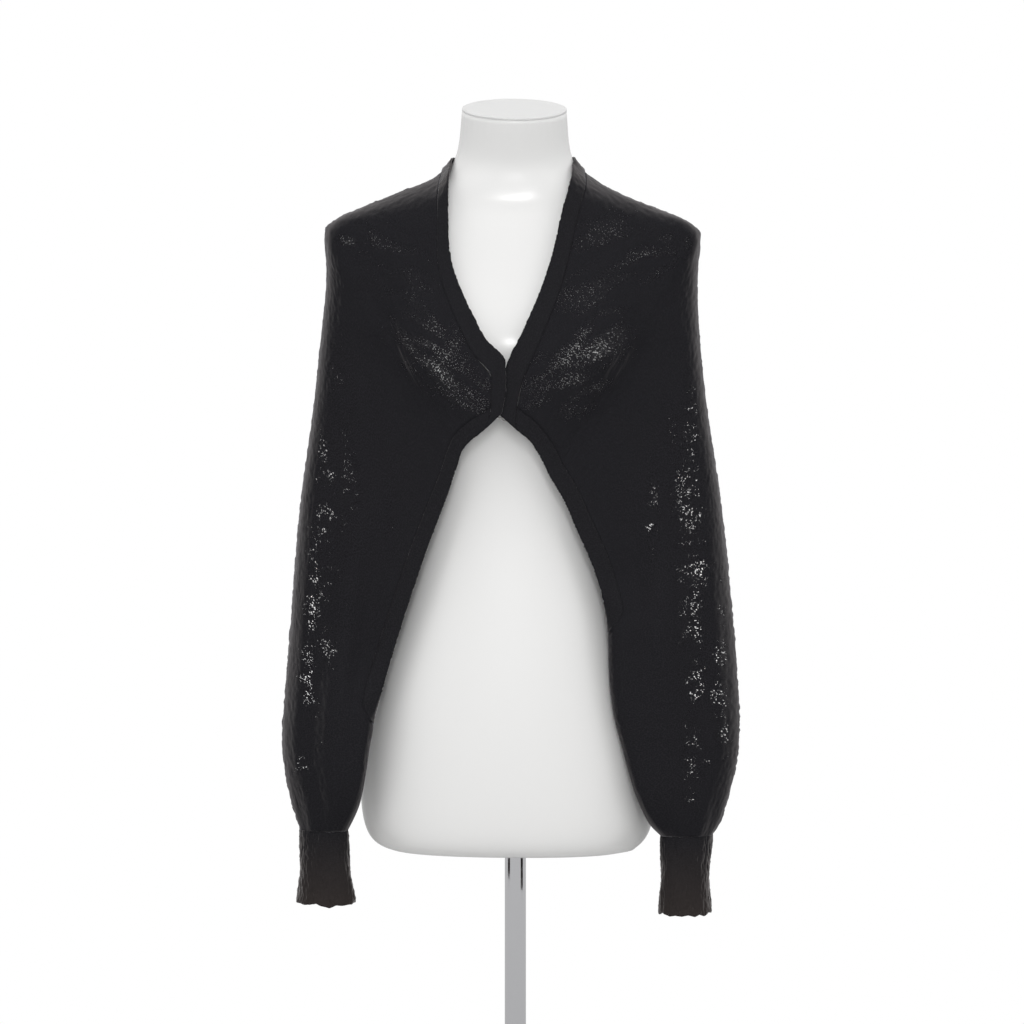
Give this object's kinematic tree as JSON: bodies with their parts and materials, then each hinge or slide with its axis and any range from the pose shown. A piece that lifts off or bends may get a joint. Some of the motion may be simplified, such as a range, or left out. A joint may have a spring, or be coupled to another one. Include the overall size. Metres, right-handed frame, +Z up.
{
  "type": "cardigan on a dress form",
  "caption": "Cropped black batwing cardigan of sheer boucle knit, hooked at the front, worn by a glossy white limbless dress form on a pole stand.",
  "frame": {"origin": "centre of the stand base's underside, on the pole's axis", "axes": "+Z up, the fronts face -Y, the wearer's left is +X"},
  "size_m": [0.4754, 0.3282, 1.5805],
  "materials": {
    "boucle_knit": "matte sheer black boucle knit with small openings",
    "rib_knit": "matte dense black rib",
    "hook_wire": "plated wire",
    "form_gloss": "glossy white",
    "form_cap": "satin light grey",
    "stand_chrome": "polished"
  },
  "bodies": {
    "root": {"back": "boucle_knit", "front_right": "boucle_knit", "front_left": "boucle_knit", "neckband_right": "rib_knit", "neckband_left": "rib_knit", "hemband_front_right": "rib_knit", "hemband_front_left": "rib_knit", "hemband_back_right": "rib_knit", "hemband_back_left": "rib_knit", "cuff_right": "rib_knit", "cuff_left": "rib_knit", "hook": "hook_wire", "eye": "hook_wire", "form_torso": "form_gloss", "form_neck_cap": "form_cap", "stand_pole": "stand_chrome", "stand_base": "stand_chrome"}
  },
  "joints": []
}
